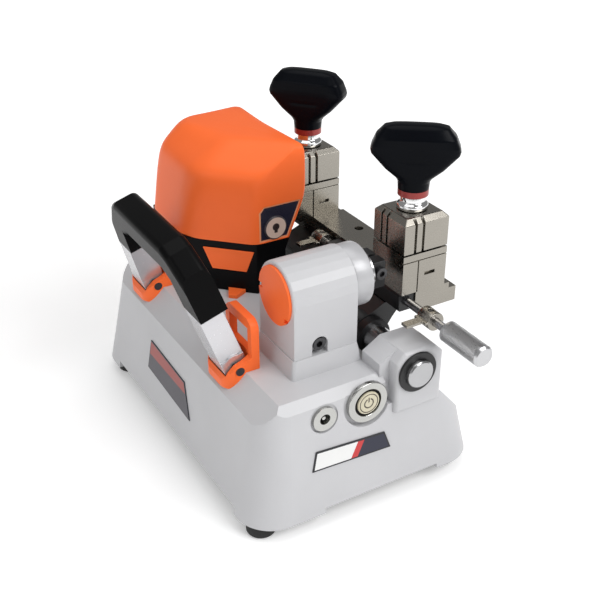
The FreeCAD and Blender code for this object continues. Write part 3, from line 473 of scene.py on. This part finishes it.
def soften(line, sigma=4.4):
    """Round the corners of a path: a weighted mean along its length, with the ends kept."""
    dist = [0.0]
    for a, b in zip(line, line[1:]):
        dist.append(dist[-1] + (b - a).length)
    out = []
    for i, p in enumerate(line):
        s = min(sigma, dist[i] / 2.5, (dist[-1] - dist[i]) / 2.5)
        if s < 0.05:
            out.append(p.copy())
            continue
        acc, tot = Vector((0, 0, 0)), 0.0
        for j, q in enumerate(line):
            d = abs(dist[j] - dist[i])
            if d > 3 * s:
                continue
            span = (dist[min(j + 1, L - 1)] - dist[max(j - 1, 0)]) / 2
            w = math.exp(-0.5 * (d / s) ** 2) * span
            acc += q * w
            tot += w
        out.append(acc / tot)
    return out


paths = [soften(l) for l in paths]
rows = [[P(*paths[i][k]) for i in range(cnt)] for k in range(L)]
hood = from_rows("hood_skin", rows, True, False)


def open_up(o, pts, axis, test):
    """Cut a convex opening, an outline seen along an axis, into the part of a skin that passes test."""
    k = 1 if axis == "X" else 0
    w = [P(0, a, b) if axis == "X" else P(a, 0, b) for a, b in pts]
    q = [(p[k], p[2]) for p in w]
    mu, mv = sum(a for a, _ in q) / len(q), sum(b for _, b in q) / len(q)
    planes = []
    for (u0, v0), (u1, v1) in zip(q, q[1:] + q[:1]):
        nu, nv = v1 - v0, u0 - u1
        if nu * (mu - u0) + nv * (mv - v0) > 0:
            nu, nv = -nu, -nv
        co = Vector((0, u0, v0)) if axis == "X" else Vector((u0, 0, v0))
        no = (Vector((0, nu, nv)) if axis == "X" else Vector((nu, 0, nv))).normalized()
        planes.append((co, no))
    bm = bmesh.new()
    bm.from_mesh(o.data)
    for co, no in planes:
        part = [f for f in bm.faces if test(f.calc_center_median())]
        geom = part + list({e for f in part for e in f.edges}) + list({v for f in part for v in f.verts})
        bmesh.ops.bisect_plane(bm, geom=geom, plane_co=co, plane_no=no, dist=1e-7)
    gone = [f for f in bm.faces if test(f.calc_center_median())
            and all((f.calc_center_median() - co).dot(no) < 0 for co, no in planes)]
    bmesh.ops.delete(bm, geom=gone, context="FACES")
    bm.to_mesh(o.data)
    bm.free()


open_up(hood, PANEL, "X", lambda c: c.x < P(16, 0, 0).x)
open_up(hood, [(38, 100), (68, 100), (68, 141), (38, 141)], "Y", lambda c: c.y < P(0, -14, 0).y and c.z < 0.16)
open_up(hood, [(32.5 + 4 * math.cos(k * math.pi / 8), 125 + 4 * math.sin(k * math.pi / 8)) for k in range(16)], "Y",
        lambda c: c.y < P(0, -14, 0).y and c.z < 0.16)
sol = hood.modifiers.new("Solidify", "SOLIDIFY")
sol.thickness, sol.offset = 0.0023, -1.0
baked(hood)
smooth(hood, 40)
hood.data.materials.clear()
hood.data.materials.append(M["orange"].mat)
for p in hood.data.polygons:
    p.material_index = 0
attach(hood, "base")
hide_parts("hood")

# ------------------------------------------------------------ floor, light, camera
me = bpy.data.meshes.new("studio_floor")
me.from_pydata([(-40, -40, 0), (40, -40, 0), (40, 40, 0), (-40, 40, 0)], [], [(0, 1, 2, 3)])
floor = bpy.data.objects.new("studio_floor", me)
scene.collection.objects.link(floor)
t = Tree("floor_paper")
n = t.noise(6.0, 3.0)
t.link(t.ramp(n, [(0.3, (0.88, 0.88, 0.88)), (0.7, (0.91, 0.91, 0.91))]), t.bsdf.inputs["Base Color"])
t.bsdf.inputs["Roughness"].default_value = 0.9
t.bsdf.inputs["Emission Color"].default_value = (1, 1, 1, 1)
# the paper glows more away from the machine, so that it runs out to white
gx, gy = t.axis("X"), t.axis("Y")
away = t.math("SQRT", t.math("ADD", t.math("MULTIPLY", gx, gx), t.math("MULTIPLY", gy, gy)))
glow = t.new("ShaderNodeMapRange", interpolation_type="SMOOTHSTEP")
glow.inputs["From Min"].default_value = 0.25
glow.inputs["From Max"].default_value = 0.95
glow.inputs["To Min"].default_value = 0.30
glow.inputs["To Max"].default_value = 0.85
t.link(away, glow.inputs["Value"])
t.link(glow.outputs[0], t.bsdf.inputs["Emission Strength"])
me.materials.append(t.mat)

world = bpy.data.worlds.new("Studio")
scene.world = world
world.use_nodes = True
world.node_tree.nodes["Background"].inputs["Color"].default_value = (1, 1, 1, 1)
world.node_tree.nodes["Background"].inputs["Strength"].default_value = 0.30


def area(name, pos, aim, size, watts):
    l = bpy.data.lights.new(name, "AREA")
    l.shape = "RECTANGLE"
    l.size, l.size_y = size
    l.energy = watts
    o = bpy.data.objects.new(name, l)
    scene.collection.objects.link(o)
    o.location = pos
    o.rotation_mode = "QUATERNION"
    o.rotation_quaternion = (Vector(aim) - Vector(pos)).to_track_quat("-Z", "Y")
    return o


mid = (0.0, 0.0, 0.09)
area("key", (-0.95, -0.45, 1.05), mid, (0.9, 0.7), 11.6)
area("top", (0.1, 0.05, 1.35), mid, (1.2, 1.0), 6.6)
area("left_fill", (-0.25, 1.25, 0.75), mid, (0.8, 0.8), 2.4)

cam_data = bpy.data.cameras.new("Camera")
cam_data.lens = 59.52
cam_data.sensor_width = 36.0
cam_data.dof.use_dof = False
cam = bpy.data.objects.new("Camera", cam_data)
scene.collection.objects.link(cam)
cam.location = P(-449.5, 246.3, 372.9)
yaw, pitch = math.radians(-30.5), math.radians(29.8)
aim = Vector((math.cos(pitch) * math.cos(yaw), math.cos(pitch) * math.sin(yaw), -math.sin(pitch)))
cam.rotation_mode = "QUATERNION"
cam.rotation_quaternion = aim.to_track_quat("-Z", "Y")
scene.camera = cam
